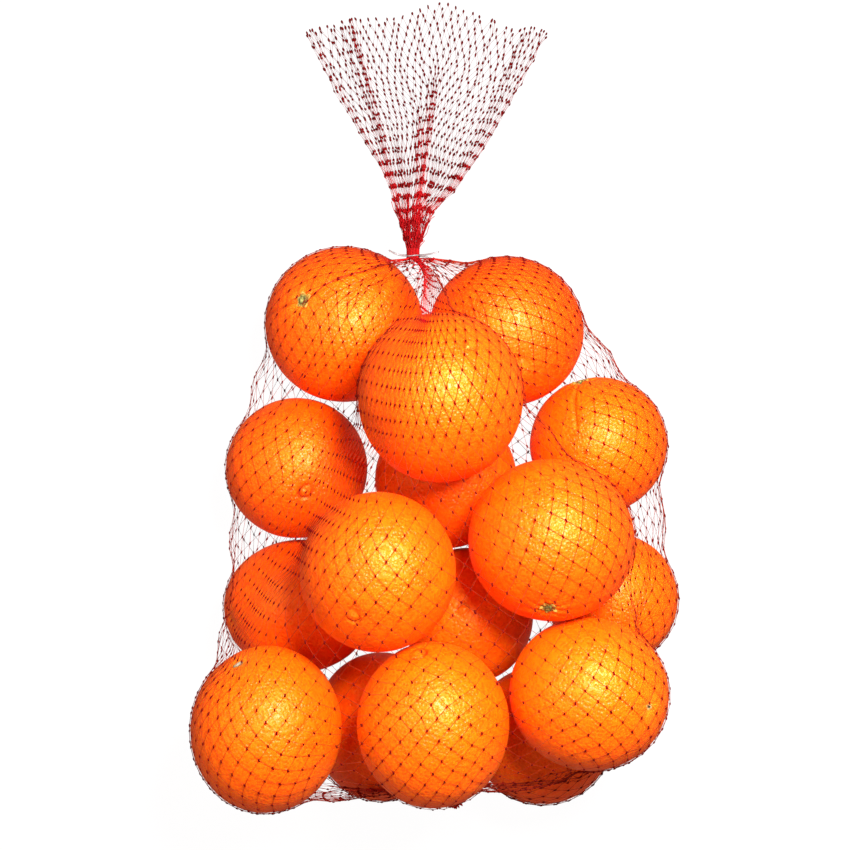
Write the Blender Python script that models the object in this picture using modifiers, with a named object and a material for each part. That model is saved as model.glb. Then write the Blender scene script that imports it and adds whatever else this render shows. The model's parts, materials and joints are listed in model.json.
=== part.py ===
"""Net of oranges: a tubular plastic mesh bag packed with sixteen oranges, lying on its back.

The bag is one filled solid: the taut skin of the net over the fruit, gathered
to a thin neck at both ends and fanned out into a flat ruffled tail beyond the
upper neck.  A small plastic tie grips each neck.

Units are metres.  +Z is up, +Y runs from the closed base to the tail, and the
origin is the middle of the footprint, on the surface the bag lies on.
"""
import math

import bmesh
import bpy
import numpy as np

MM = 0.001

# ---------------------------------------------------------------- dimensions
# Middle of the finished footprint, in the frame the pile is laid out in.
FOOTPRINT_MID = (9.17, 14.84)                    # mm

# The pile of fruit, mm: centre X, Y, Z, then half-widths along X, Y, Z.
# Ten oranges lie on the table and six sit in the hollows between them.
PILE = (
    (-42.8,   52.2,  41.4, 40.7, 40.7, 40.6),
    ( 42.9,   48.7,  40.4, 40.2, 39.2, 39.6),
    (  7.4,   13.3, 103.4, 40.2, 41.2, 40.5),
    (-67.1,  -22.5,  39.2, 37.2, 37.1, 37.1),
    ( 90.9,  -10.5,  36.9, 36.2, 36.2, 36.1),
    ( 11.0,  -28.2,  37.6, 37.5, 36.6, 36.8),
    ( 61.1,  -55.6,  98.3, 40.6, 39.6, 40.1),
    (-22.6,  -70.3, 104.4, 37.8, 38.6, 38.2),
    (-67.3,  -93.7,  36.7, 38.6, 33.6, 35.9),
    ( 98.5,  -91.1,  35.3, 34.6, 34.6, 34.5),
    ( 22.2,  -98.7,  35.2, 34.6, 34.3, 34.4),
    (-77.9, -149.2,  86.1, 37.3, 40.8, 39.0),
    (  3.9, -143.8, 104.0, 36.9, 39.7, 37.2),
    ( 80.2, -130.2,  97.9, 37.9, 36.8, 36.5),
    (-23.0, -158.8,  37.0, 35.2, 38.1, 36.2),
    ( 61.9, -163.8,  36.3, 36.7, 35.0, 35.5),
)

NET_CLEAR = 0.8          # mm, net skin outside the peel
NECK = (-6.2, 88.0, 55.0)        # mm, middle of the upper neck
NECK_R = 3.6                     # mm
BASE = (14.0, -186.5, 56.0)      # mm, middle of the lower neck
NECK_HALF = 2.4                  # mm, half length of the straight gathered part in each tie
BASE_R = 3.4                     # mm
BASE_STUB = 8.5                  # mm, cut end of the net beyond the lower tie
BASE_STUB_R = 6.5                # mm

TAIL_LEN = 141.0         # mm, neck to cut edge
TAIL_LEFT = -25.0        # degrees from +Y, left edge of the fan
TAIL_RIGHT = 29.5        # degrees from +Y, right edge of the fan
TAIL_END_Z = 7.0         # mm, height of the fan's middle at the cut edge
TAIL_HALF = 5.0          # mm, half thickness of the two loose layers
TAIL_WAVE = 4.0          # mm, height of the ruffles at the cut edge

TIE_WIRE = 0.85          # mm, half thickness of the tie
TIE_GAP = 0.5            # mm, tie to net
TIE_SPAN = 24.0          # mm, tip to tip over both arms of the upper tie
BASE_TIE_SPAN = 18.0     # mm, the same for the lower tie
TIE_ARM_W = 1.9          # mm
TIE_ARM_T = 1.1          # mm

AROUND = 64              # columns round the bag
BAG_ROWS = 38            # rows from neck to neck
TAIL_ROWS = 12           # rows in the tail
SETTLE = 420             # tension passes
BRIDGE = 0.85            # 1 bridges the hollows flat, 0 lets the skin sink in as a film would
FLAT_BELOW = 1.2         # mm, skin this close to the table lies flat on it


# -------------------------------------------------------------- the net skin
def hull_radius(centre, dirs):
    """Distance from the centre to the taut wrap of the pile along each direction."""
    k = np.arange(6000) + 0.5
    pz = 1.0 - 2.0 * k / 6000.0
    az = math.pi * (1.0 + 5.0 ** 0.5) * k
    rad = np.sqrt(1.0 - pz * pz)
    normals = np.stack([rad * np.cos(az), rad * np.sin(az), pz], axis=1)
    support = np.full(len(normals), -1e9)
    for cx, cy, cz, rx, ry, rz in PILE:
        c = np.array([cx, cy, cz]) - centre
        r = np.array([rx, ry, rz]) + NET_CLEAR
        support = np.maximum(support, normals @ c + np.linalg.norm(normals * r, axis=1))
    out = np.empty(len(dirs))
    for a in range(0, len(dirs), 512):
        d = dirs[a:a + 512] @ normals.T
        q = np.where(d > 0.05, support[None, :] / np.maximum(d, 0.05), 1e9)
        out[a:a + 512] = q.min(axis=1)
    return out


def push_off_fruit(p):
    """Move net points that dip into an orange back out to its skin."""
    for cx, cy, cz, rx, ry, rz in PILE:
        c = np.array([cx, cy, cz])
        r = np.array([rx, ry, rz]) + NET_CLEAR
        q = (p - c) / r
        s = np.linalg.norm(q, axis=-1, keepdims=True)
        inside = s < 1.0
        p = np.where(inside, c + (p - c) / np.maximum(s, 1e-6), p)
    p[..., 2] = np.maximum(p[..., 2], 0.0)
    return p


def bag_rings():
    """Rings of the bag from the lower neck to the upper neck, drawn tight over the pile."""
    fruit = np.array(PILE)
    centre = np.array([fruit[:, 0].mean(), fruit[:, 1].mean() - 4.0, 62.0])
    theta = 2.0 * math.pi * np.arange(AROUND) / AROUND
    grid = np.empty((BAG_ROWS + 1, AROUND, 3))
    for j in range(BAG_ROWS + 1):
        phi = math.pi * (0.03 + 0.94 * j / BAG_ROWS)
        grid[j, :, 0] = math.sin(phi) * np.cos(theta)
        grid[j, :, 1] = -math.cos(phi)
        grid[j, :, 2] = math.sin(phi) * np.sin(theta)
    reach = hull_radius(centre, grid.reshape(-1, 3)).reshape(BAG_ROWS + 1, AROUND, 1)
    grid = centre + grid * reach

    ring = np.stack([np.cos(theta), np.zeros(AROUND), np.sin(theta)], axis=1)
    grid[0] = np.array(BASE) + BASE_R * ring + np.array([0.0, NECK_HALF, 0.0])
    grid[-1] = np.array(NECK) + NECK_R * ring - np.array([0.0, NECK_HALF, 0.0])
    for _ in range(SETTLE):
        round_it = 0.5 * (np.roll(grid, 1, axis=1) + np.roll(grid, -1, axis=1))
        along = grid.copy()
        along[1:-1] = 0.5 * (grid[:-2] + grid[2:])
        target = 0.5 * (round_it + along)
        # a stretched mesh bridges from fruit to fruit: the outer of the two spans carries it
        out = grid - grid.mean(axis=1, keepdims=True)
        out /= np.maximum(np.linalg.norm(out, axis=-1, keepdims=True), 1e-6)
        lift = 0.5 * np.abs(((round_it - along) * out).sum(axis=-1, keepdims=True))
        target = target + BRIDGE * lift * out
        grid[1:-1] += 0.8 * (target[1:-1] - grid[1:-1])
        grid[1:-1] = push_off_fruit(grid[1:-1])
    low = grid[..., 2] < FLAT_BELOW
    grid[..., 2][low] = 0.0
    return grid


def smooth(t):
    return t * t * (3.0 - 2.0 * t)


def tail_rings():
    """Rings of the fan from just past the upper neck to the cut edge."""
    half = AROUND // 2
    rings = []
    for j in range(TAIL_ROWS + 1):
        s = j / TAIL_ROWS
        reach = NECK_HALF + (TAIL_LEN - NECK_HALF) * s
        spread = smooth(min(1.0, s * 3.6))
        ring = np.empty((AROUND, 3))
        for i in range(AROUND):
            top = i <= half
            u = i / half if top else (AROUND - i) / half        # 0 at the right edge, 1 at the left
            angle = math.radians(TAIL_RIGHT + (TAIL_LEFT - TAIL_RIGHT) * u)
            fan = np.array([math.sin(angle), math.cos(angle)]) * reach
            turn = math.pi * u
            rope = np.array([NECK_R * math.cos(turn), reach])
            xy = rope * (1.0 - spread) + fan * spread
            mid = TAIL_END_Z + (NECK[2] - TAIL_END_Z) * (1.0 - smooth(s))
            wave = TAIL_WAVE * s * math.sin(2.0 * math.pi * 3.0 * u + 0.7)
            body = NECK_R * (1.0 - s) + TAIL_HALF * s
            rise = max(0.0, math.sin(turn)) ** (1.0 - 0.5 * spread)
            lift = body * rise * (1.0 if top else -1.0)
            z = mid + lift + wave * rise
            z = max(0.0, z)
            ring[i] = (NECK[0] + xy[0], NECK[1] + xy[1], 0.0 if z < 0.6 else z)
        rings.append(ring)
    return rings


def stub_rings():
    """Short cut end of the net past the lower tie, from its tip to the tie."""
    theta = 2.0 * math.pi * np.arange(AROUND) / AROUND
    rings = []
    for s in (1.0, 0.6, 0.25, 0.0):
        frill = 1.0 + 0.18 * s * np.cos(6.0 * theta + 0.4)
        r = BASE_R + (BASE_STUB_R - BASE_R) * s * s
        ring = np.stack([r * frill * np.cos(theta),
                         np.full(AROUND, -NECK_HALF - (BASE_STUB - NECK_HALF) * s),
                         r * frill * np.sin(theta)], axis=1)
        rings.append(np.array(BASE) + ring)
    return rings


def make_net(collection, material):
    rings = stub_rings() + list(bag_rings()) + tail_rings()
    shift = np.array([FOOTPRINT_MID[0], FOOTPRINT_MID[1], 0.0])
    bm = bmesh.new()
    rows = [[bm.verts.new((p - shift) * MM) for p in ring] for ring in rings]
    for lower, upper in zip(rows[:-1], rows[1:]):
        for i in range(AROUND):
            k = (i + 1) % AROUND
            bm.faces.new((lower[i], upper[i], upper[k], lower[k]))
    hub = bm.verts.new((np.mean(rings[0], axis=0) - shift) * MM)
    for i in range(AROUND):
        bm.faces.new((hub, rows[0][i], rows[0][(i + 1) % AROUND]))
    last, half = rows[-1], AROUND // 2
    bm.faces.new((last[0], last[-1], last[1]))
    for i in range(1, half - 1):
        bm.faces.new((last[i], last[AROUND - i], last[AROUND - i - 1], last[i + 1]))
    bm.faces.new((last[half - 1], last[half + 1], last[half]))
    bmesh.ops.recalc_face_normals(bm, faces=bm.faces)
    bmesh.ops.triangulate(bm, faces=bm.faces)
    mesh = bpy.data.meshes.new("net")
    bm.to_mesh(mesh)
    bm.free()
    mesh.shade_smooth()
    net = bpy.data.objects.new("net", mesh)
    net.data.materials.append(material)
    collection.objects.link(net)
    return net


# -------------------------------------------------------------------- ties
def make_tie(name, collection, material, at, neck_r, span):
    """A ring round the gathered net with two short flat arms."""
    ring_r = neck_r + TIE_GAP + TIE_WIRE
    bpy.ops.mesh.primitive_torus_add(major_radius=ring_r * MM, minor_radius=TIE_WIRE * MM,
                                     major_segments=28, minor_segments=8,
                                     rotation=(math.pi / 2.0, 0.0, 0.0))
    tie = bpy.context.object
    bpy.ops.object.transform_apply(location=False, rotation=True, scale=True)
    arm_len = span / 2.0 - ring_r + 0.3
    bpy.ops.mesh.primitive_cube_add(size=1.0)
    arm = bpy.context.object
    arm.scale = (arm_len * MM, TIE_ARM_T * MM, TIE_ARM_W * MM)
    arm.location = ((ring_r - 0.3 + arm_len / 2.0) * MM, 0.0, 0.0)
    bpy.ops.object.transform_apply(location=True, rotation=False, scale=True)
    bevel = arm.modifiers.new("Bevel", "BEVEL")
    bevel.width = 0.25 * MM
    bevel.segments = 2
    mirror = arm.modifiers.new("Mirror", "MIRROR")
    mirror.use_axis = (True, False, False)
    mirror.use_clip = False
    mirror.merge_threshold = 0.00001
    arm.name = name + "_arms"
    arm.hide_render = True
    arm.display_type = "WIRE"
    union = tie.modifiers.new("Arms", "BOOLEAN")
    union.operation = "UNION"
    union.solver = "EXACT"
    union.object = arm
    tie.name = name
    tie.data.name = name
    tie.location = ((at[0] - FOOTPRINT_MID[0]) * MM, (at[1] - FOOTPRINT_MID[1]) * MM, at[2] * MM)
    arm.parent = tie
    tie.data.materials.append(material)
    arm.data.materials.append(material)
    for obj, home in ((tie, collection[0]), (arm, collection[1])):
        for c in list(obj.users_collection):
            c.objects.unlink(obj)
        home.objects.link(obj)
    return tie


def make_material(name, colour, roughness, metallic=0.0):
    mat = bpy.data.materials.new(name)
    mat.use_nodes = True
    shader = mat.node_tree.nodes["Principled BSDF"]
    shader.inputs["Base Color"].default_value = (*colour, 1.0)
    shader.inputs["Roughness"].default_value = roughness
    shader.inputs["Metallic"].default_value = metallic
    return mat


def main():
    for obj in list(bpy.data.objects):
        bpy.data.objects.remove(obj, do_unlink=True)
    parts = bpy.data.collections.new("net_of_oranges")
    cutters = bpy.data.collections.new("net_of_oranges_tools")
    bpy.context.scene.collection.children.link(parts)
    bpy.context.scene.collection.children.link(cutters)

    orange = make_material("orange_in_net", (0.90, 0.26, 0.02), 0.38)
    clear = make_material("tie_plastic", (0.86, 0.85, 0.83), 0.30)

    make_net(parts, orange)
    make_tie("tie", (parts, cutters), clear, NECK, NECK_R, TIE_SPAN)
    make_tie("tie_base", (parts, cutters), clear, BASE, BASE_R, BASE_TIE_SPAN)


main()
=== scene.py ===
"""Looks for the net of oranges: sixteen pored oranges inside a fine red knotted
mesh bag, tied at both ends, with its fanned two-layer tail."""
import json
import math

import bpy
import numpy as np
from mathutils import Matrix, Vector, kdtree
from mathutils.bvhtree import BVHTree

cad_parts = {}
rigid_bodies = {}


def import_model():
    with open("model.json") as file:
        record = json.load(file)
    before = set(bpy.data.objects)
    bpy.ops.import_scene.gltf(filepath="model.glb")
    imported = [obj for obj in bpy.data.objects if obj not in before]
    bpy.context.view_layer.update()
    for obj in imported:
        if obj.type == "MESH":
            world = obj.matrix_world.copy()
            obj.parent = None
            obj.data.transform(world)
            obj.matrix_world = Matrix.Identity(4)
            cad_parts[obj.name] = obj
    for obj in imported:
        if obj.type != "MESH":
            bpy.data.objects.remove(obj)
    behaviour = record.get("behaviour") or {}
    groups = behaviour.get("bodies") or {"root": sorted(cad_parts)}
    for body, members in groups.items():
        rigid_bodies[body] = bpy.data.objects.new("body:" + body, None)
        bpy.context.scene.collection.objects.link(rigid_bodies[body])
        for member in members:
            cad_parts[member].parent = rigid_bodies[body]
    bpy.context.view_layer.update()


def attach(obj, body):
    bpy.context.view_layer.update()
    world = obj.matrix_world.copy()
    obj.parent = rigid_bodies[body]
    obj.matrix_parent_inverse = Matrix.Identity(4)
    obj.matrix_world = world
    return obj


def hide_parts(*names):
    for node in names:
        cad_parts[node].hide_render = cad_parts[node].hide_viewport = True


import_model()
MM = 0.001

# --------------------------------------------------------------- the layout
# Middle of the footprint in the frame the pile is laid out in, mm.
MID = np.array([9.17, 14.84, 0.0])

# centre X, Y, Z and half-widths along X, Y, Z of each fruit, mm
PILE = np.array([
    (-42.1,   52.2,  41.4, 41.4, 40.7, 40.6),
    ( 42.3,   48.7,  40.4, 40.8, 39.2, 39.6),
    (  7.4,   13.3, 103.4, 40.2, 41.2, 40.5),
    (-67.1,  -22.5,  39.2, 37.2, 37.1, 37.1),
    ( 90.9,  -10.5,  36.9, 36.2, 36.2, 36.1),
    ( 11.0,  -28.2,  37.6, 37.5, 36.6, 36.8),
    ( 61.1,  -55.6,  98.3, 40.6, 39.6, 40.1),
    (-22.6,  -70.4, 104.4, 37.8, 38.7, 38.2),
    (-66.3,  -95.1,  36.7, 39.6, 35.0, 35.9),
    ( 98.5,  -91.1,  35.3, 34.6, 34.6, 34.5),
    ( 22.5, -100.2,  35.2, 34.9, 35.8, 34.4),
    (-77.9, -149.2,  87.1, 37.3, 40.8, 39.0),
    (  3.9, -143.8, 104.0, 36.9, 39.7, 37.2),
    ( 79.3, -130.0,  98.3, 38.8, 37.0, 36.5),
    (-23.3, -158.1,  37.0, 35.8, 38.8, 36.2),
    ( 61.3, -162.8,  36.3, 37.3, 36.0, 35.5),
])

# Per fruit: direction of the stem end, how it ends (calyx star, oval scar, small
# dry spot, plain dimple), wrinkling round the stem, peel tint (-1 deep, +1 yellow),
# turn of the mark in degrees, grid fineness.
# The tints were matched to each fruit as lit, so besides the peel's own tone they hold some painted light and shade;
# the first fruit's deeper tint is painted shade from its neighbours.
FRUIT = [
    (( -0.48,  0.26,  0.84), "calyx", 0.45, -0.25, -20, 64),
    ((  0.16, -0.45,  0.88), "spot",  0.15, -1.05,  10, 48),
    (( -0.35, -0.60, -0.72), "calyx", 0.40, -0.15,   0, 48),
    (( -0.20,  0.30, -0.93), "calyx", 0.35, -0.25,  15, 64),
    (( -0.27,  0.95,  0.12), "calyx", 0.90,  0.30,  30, 64),
    ((  0.50,  0.40, -0.77), "calyx", 0.40, -1.10,  40, 40),
    (( -0.08, -0.79,  0.61), "calyx", 0.85, -0.05, 160, 64),
    ((  0.30,  0.45, -0.84), "calyx", 0.35,  0.25,  70, 48),
    (( -0.55, -0.10,  0.30), "spot",  0.30, -0.60,   0, 48),
    ((  0.80, -0.30, -0.52), "calyx", 0.40,  0.45,  20, 40),
    ((  0.10, -0.20, -0.97), "calyx", 0.35,  0.10,  50, 40),
    (( -0.34,  0.86,  0.38), "scar",  0.30,  0.95,  25, 56),
    ((  0.20, -0.93, -0.31), "calyx", 0.45,  0.95,  80, 64),
    ((  0.69, -0.05,  0.72), "dot",   0.30,  0.90, -35, 56),
    ((  0.10,  0.90, -0.42), "calyx", 0.40, -0.60,  10, 40),
    (( -0.40,  0.30, -0.87), "calyx", 0.35,  0.00,  60, 40),
]

CLEAR = 0.32                                   # net centre line off the peel, mm
NECK = np.array([-6.2, 88.0, 55.0])
NECK_R, NECK_HALF = 3.4, 2.4
BASE = np.array([14.0, -186.5, 56.0])
BASE_R = 3.2

COLUMNS = 76                                   # knots round the bag
ROWS = 60                                      # knot rows from neck to neck
STRAND = 7.8                                   # knot to knot, mm


def world(p):
    """Pile frame in mm to row frame in metres."""
    return (np.asarray(p) - MID) * MM


# ------------------------------------------------------------------- helpers
def lattice_noise(p, seed=0):
    """Smooth value noise in -1..1 at points p, one unit to a cell."""
    p = np.asarray(p, float)
    base = np.floor(p).astype(np.int64)
    f = p - base
    f = f * f * f * (f * (f * 6.0 - 15.0) + 10.0)
    out = np.zeros(len(p))
    for dx in (0, 1):
        for dy in (0, 1):
            for dz in (0, 1):
                c = base + np.array([dx, dy, dz])
                h = (c[:, 0] * 73856093) ^ (c[:, 1] * 19349663) ^ (c[:, 2] * 83492791) ^ (seed * 2654435761)
                h = (h ^ (h >> 13)) * 1274126177
                h = h & 0x7FFFFFFF
                h = (h ^ (h >> 16)) & 0xFFFF
                w = (np.where(dx, f[:, 0], 1 - f[:, 0]) * np.where(dy, f[:, 1], 1 - f[:, 1])
                     * np.where(dz, f[:, 2], 1 - f[:, 2]))
                out += w * (h / 32767.5 - 1.0)
    return out


def build_mesh(name, verts, quads=None, tris=None, smooth=True):
    """Mesh object from arrays of points, four-corner faces and three-corner faces."""
    mesh = bpy.data.meshes.new(name)
    verts = np.asarray(verts, np.float32)
    mesh.vertices.add(len(verts))
    mesh.vertices.foreach_set("co", verts.ravel())
    loops, starts, totals = [], [], []
    at = 0
    for faces, sides in ((quads, 4), (tris, 3)):
        if faces is None or len(faces) == 0:
            continue
        faces = np.asarray(faces, np.int32)
        loops.append(faces.ravel())
        starts.append(at + sides * np.arange(len(faces), dtype=np.int32))
        totals.append(np.full(len(faces), sides, np.int32))
        at += sides * len(faces)
    loops, starts, totals = np.concatenate(loops), np.concatenate(starts), np.concatenate(totals)
    mesh.loops.add(len(loops))
    mesh.loops.foreach_set("vertex_index", loops)
    mesh.polygons.add(len(starts))
    mesh.polygons.foreach_set("loop_start", starts)
    mesh.polygons.foreach_set("loop_total", totals)
    mesh.update(calc_edges=True)
    mesh.validate()
    if smooth:
        mesh.shade_smooth()
    obj = bpy.data.objects.new(name, mesh)
    bpy.context.scene.collection.objects.link(obj)
    return obj


def add_float(obj, name, values):
    attribute = obj.data.attributes.new(name, "FLOAT", "POINT")
    attribute.data.foreach_set("value", np.asarray(values, np.float32))


def cube_sphere(n):
    """Unit directions and quads of a gridded sphere, three times finer round
    the two ends of its third axis and along the first two."""
    t = np.linspace(-1.0, 1.0, n + 1)
    even = np.tan(t * math.pi / 4)
    fine = np.tan(np.sign(t) * (0.40 * np.abs(t) + 0.60 * np.abs(t) ** 2.2) * math.pi / 4)
    step = [fine, fine, even]
    index, verts, quads = {}, [], []
    for w, sign in ((0, 1), (0, -1), (1, 1), (1, -1), (2, 1), (2, -1)):
        u, v = (w + 1) % 3, (w + 2) % 3
        grid = np.empty((n + 1, n + 1), int)
        for i in range(n + 1):
            for j in range(n + 1):
                p = np.zeros(3)
                p[w], p[u], p[v] = sign, step[u][i], step[v][j]
                p /= np.linalg.norm(p)
                key = (round(p[0], 6), round(p[1], 6), round(p[2], 6))
                if key not in index:
                    index[key] = len(verts)
                    verts.append(p)
                grid[i, j] = index[key]
        for i in range(n):
            for j in range(n):
                q = (grid[i, j], grid[i + 1, j], grid[i + 1, j + 1], grid[i, j + 1])
                quads.append(q if sign > 0 else q[::-1])
    return np.array(verts), np.array(quads, np.int32)


# ------------------------------------------------------------ node materials
class Nodes:
    def __init__(self, name):
        self.mat = bpy.data.materials.new(name)
        self.mat.use_nodes = True
        self.tree = self.mat.node_tree
        self.shader = self.tree.nodes["Principled BSDF"]

    def new(self, kind, **settings):
        node = self.tree.nodes.new(kind)
        for key, value in settings.items():
            setattr(node, key, value)
        return node

    def link(self, a, b):
        self.tree.links.new(a, b)

    def put(self, socket, value):
        if isinstance(value, bpy.types.NodeSocket):
            self.link(value, socket)
        else:
            socket.default_value = value

    def math(self, op, a, b=None, c=None, clamp=False):
        node = self.new("ShaderNodeMath", operation=op, use_clamp=clamp)
        for k, value in enumerate((a, b, c)):
            if value is not None:
                self.put(node.inputs[k], value)
        return node.outputs[0]

    def mix(self, factor, a, b, blend="MIX"):
        node = self.new("ShaderNodeMix", data_type="RGBA", blend_type=blend)
        self.put(node.inputs[0], factor)
        self.put(node.inputs[6], a)
        self.put(node.inputs[7], b)
        return node.outputs[2]

    def ramp(self, value, stops):
        node = self.new("ShaderNodeValToRGB")
        while len(node.color_ramp.elements) > len(stops):
            node.color_ramp.elements.remove(node.color_ramp.elements[-1])
        while len(node.color_ramp.elements) < len(stops):
            node.color_ramp.elements.new(0.5)
        for element, (place, colour) in zip(node.color_ramp.elements, stops):
            element.position = place
            element.color = colour if len(colour) == 4 else (*colour, 1.0)
        self.link(value, node.inputs[0])
        return node.outputs[0]

    def map_range(self, value, lo, hi, to_lo=0.0, to_hi=1.0):
        node = self.new("ShaderNodeMapRange")
        node.interpolation_type = "SMOOTHSTEP"
        self.put(node.inputs[0], value)
        for k, v in enumerate((lo, hi, to_lo, to_hi)):
            node.inputs[k + 1].default_value = v
        return node.outputs[0]

    def noise(self, vector, scale, detail=2.0, rough=0.5):
        node = self.new("ShaderNodeTexNoise")
        self.link(vector, node.inputs["Vector"])
        node.inputs["Scale"].default_value = scale
        node.inputs["Detail"].default_value = detail
        node.inputs["Roughness"].default_value = rough
        return node.outputs["Fac"]

    def attribute(self, name):
        node = self.new("ShaderNodeAttribute", attribute_name=name)
        return node.outputs["Fac"]

    def object_coords(self):
        return self.new("ShaderNodeTexCoord").outputs["Object"]

    def bump(self, height, distance, strength=1.0, normal=None):
        node = self.new("ShaderNodeBump")
        node.inputs["Strength"].default_value = strength
        node.inputs["Distance"].default_value = distance
        self.link(height, node.inputs["Height"])
        if normal is not None:
            self.link(normal, node.inputs["Normal"])
        return node.outputs[0]


def peel_material():
    m = Nodes("orange_peel")
    where = m.object_coords()
    fid = m.attribute("fruit_id")
    shift = m.new("ShaderNodeVectorMath", operation="ADD")
    combine = m.new("ShaderNodeCombineXYZ")
    for k in range(3):
        m.link(fid, combine.inputs[k])
    m.link(where, shift.inputs[0])
    m.link(combine.outputs[0], shift.inputs[1])
    p = shift.outputs[0]

    # oil glands: round pits about 1.4 mm apart, uneven in size, with swollen skin between
    warp = m.new("ShaderNodeTexNoise")
    warp.inputs["Scale"].default_value = 260.0
    m.link(p, warp.inputs["Vector"])
    warped = m.new("ShaderNodeVectorMath", operation="MULTIPLY_ADD")
    m.link(warp.outputs["Color"], warped.inputs[0])
    warped.inputs[1].default_value = (0.0011, 0.0011, 0.0011)
    m.link(p, warped.inputs[2])
    cell = m.new("ShaderNodeTexVoronoi", feature="F1")
    cell.inputs["Scale"].default_value = 560.0
    m.link(warped.outputs[0], cell.inputs["Vector"])
    pit = m.map_range(cell.outputs["Distance"], 0.15, 0.68)        # 0 in a pit, 1 on the skin
    fine = m.new("ShaderNodeTexVoronoi", feature="F1")
    fine.inputs["Scale"].default_value = 1150.0
    m.link(p, fine.inputs["Vector"])
    fine_pit = m.map_range(fine.outputs["Distance"], 0.05, 0.45)

    broad = m.noise(p, 34.0, 3.0, 0.55)
    patch = m.noise(p, 95.0, 3.0, 0.6)
    mottle = m.noise(p, 430.0, 2.0, 0.5)
    grain = m.noise(p, 900.0, 2.0, 0.6)

    tint = m.math("MULTIPLY_ADD", m.attribute("tint"), 0.5, 0.5)
    tint = m.math("ADD", tint, m.math("MULTIPLY_ADD", broad, 0.9, -0.45), clamp=True)
    colour = m.mix(tint, PEEL_DEEP, PEEL_LIGHT)
    colour = m.mix(m.map_range(patch, 0.52, 0.78, 0.0, 0.40), colour, PEEL_PATCH)
    colour = m.mix(m.map_range(mottle, 0.40, 0.68, 0.0, 0.35), colour, PEEL_PATCH)
    colour = m.mix(m.math("MULTIPLY_ADD", pit, -0.45, 0.45), colour, PEEL_PIT)
    # paler round the stem, painted shade in the grooves, dull rub marks and a few small brown specks
    near = m.attribute("stem_near")
    colour = m.mix(m.math("MULTIPLY", near, 0.45, clamp=True), colour, (0.74, 0.30, 0.015, 1.0))
    colour = m.mix(m.math("MULTIPLY", m.attribute("groove_shade"), 0.85, clamp=True), colour, (0.42, 0.020, 0.001, 1.0))
    rub = m.map_range(m.noise(p, 60.0, 4.0, 0.7), 0.64, 0.78, 0.0, 0.28)
    colour = m.mix(rub, colour, (0.80, 0.22, 0.02, 1.0))
    speck = m.new("ShaderNodeTexVoronoi", feature="F1")
    speck.inputs["Scale"].default_value = 105.0
    m.link(p, speck.inputs["Vector"])
    dot = m.map_range(speck.outputs["Distance"], 0.030, 0.070, 0.50, 0.0)
    colour = m.mix(dot, colour, (0.32, 0.06, 0.006, 1.0))
    m.link(colour, m.shader.inputs["Base Color"])

    rough = m.math("MULTIPLY_ADD", grain, 0.12, 0.44)
    rough = m.math("ADD", rough, m.math("MULTIPLY", patch, 0.10))
    m.link(rough, m.shader.inputs["Roughness"])

    height = m.math("ADD", pit, m.math("MULTIPLY", fine_pit, 0.30))
    height = m.math("ADD", height, m.math("MULTIPLY", mottle, 1.1))
    normal = m.bump(height, PEEL_BUMP, 1.0)
    soft = m.bump(m.noise(p, 190.0, 3.0, 0.5), 0.00036, 0.6, normal)
    waxy = m.bump(m.math("ADD", pit, m.math("MULTIPLY", mottle, 0.8)), WAX_BUMP, 1.0, soft)
    m.link(soft, m.shader.inputs["Normal"])
    m.shader.inputs["Subsurface Weight"].default_value = 0.35
    m.shader.inputs["Subsurface Radius"].default_value = (1.0, 0.16, 0.04)
    m.shader.inputs["Subsurface Scale"].default_value = 0.010
    m.shader.inputs["Specular IOR Level"].default_value = 0.9
    m.shader.inputs["Specular Tint"].default_value = (1.0, 0.72, 0.055, 1.0)
    m.shader.inputs["Coat Weight"].default_value = 0.19
    m.shader.inputs["Coat Roughness"].default_value = 0.27
    m.link(waxy, m.shader.inputs["Coat Normal"])
    return m.mat


PEEL_DEEP = (0.86, 0.059, 0.0010, 1.0)
PEEL_LIGHT = (0.90, 0.124, 0.0012, 1.0)
PEEL_PATCH = (0.92, 0.150, 0.0015, 1.0)
PEEL_BUMP = 0.00013                            # metres
WAX_BUMP = 0.00018
PEEL_PIT = (0.76, 0.045, 0.0010, 1.0)


def plain_procedural(name, dark, light, scale, rough, bump_mm, rough_var=0.15, specular=0.5):
    m = Nodes(name)
    p = m.object_coords()
    n = m.noise(p, scale, 4.0, 0.6)
    m.link(m.ramp(n, [(0.3, dark), (0.7, light)]), m.shader.inputs["Base Color"])
    m.link(m.math("MULTIPLY_ADD", m.noise(p, scale * 2.3, 3.0, 0.5), rough_var, rough - rough_var / 2), m.shader.inputs["Roughness"])
    m.link(m.bump(m.noise(p, scale * 3.1, 3.0, 0.6), bump_mm * MM, 0.8), m.shader.inputs["Normal"])
    m.shader.inputs["Specular IOR Level"].default_value = specular
    return m


def net_plastic(name, dark, light, bunched_colour, rough, specular):
    """Red net plastic; where it is bunched, light passing from strand to strand
    makes it a clearer, brighter red."""
    m = Nodes(name)
    p = m.object_coords()
    n = m.noise(p, 800.0, 4.0, 0.6)
    colour = m.ramp(n, [(0.3, dark), (0.7, light)])
    bright = m.ramp(n, [(0.3, tuple(0.80 * c for c in bunched_colour)), (0.7, tuple(1.15 * c for c in bunched_colour))])
    m.link(m.mix(m.attribute("packed"), colour, bright), m.shader.inputs["Base Color"])
    m.link(m.math("MULTIPLY_ADD", m.noise(p, 1900.0, 3.0, 0.5), 0.16, rough - 0.08), m.shader.inputs["Roughness"])
    m.link(m.bump(m.noise(p, 2500.0, 3.0, 0.6), 0.03 * MM, 0.8), m.shader.inputs["Normal"])
    m.shader.inputs["Specular IOR Level"].default_value = specular
    m.shader.inputs["Specular Tint"].default_value = (1.0, 0.35, 0.28, 1.0)
    return m.mat


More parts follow.
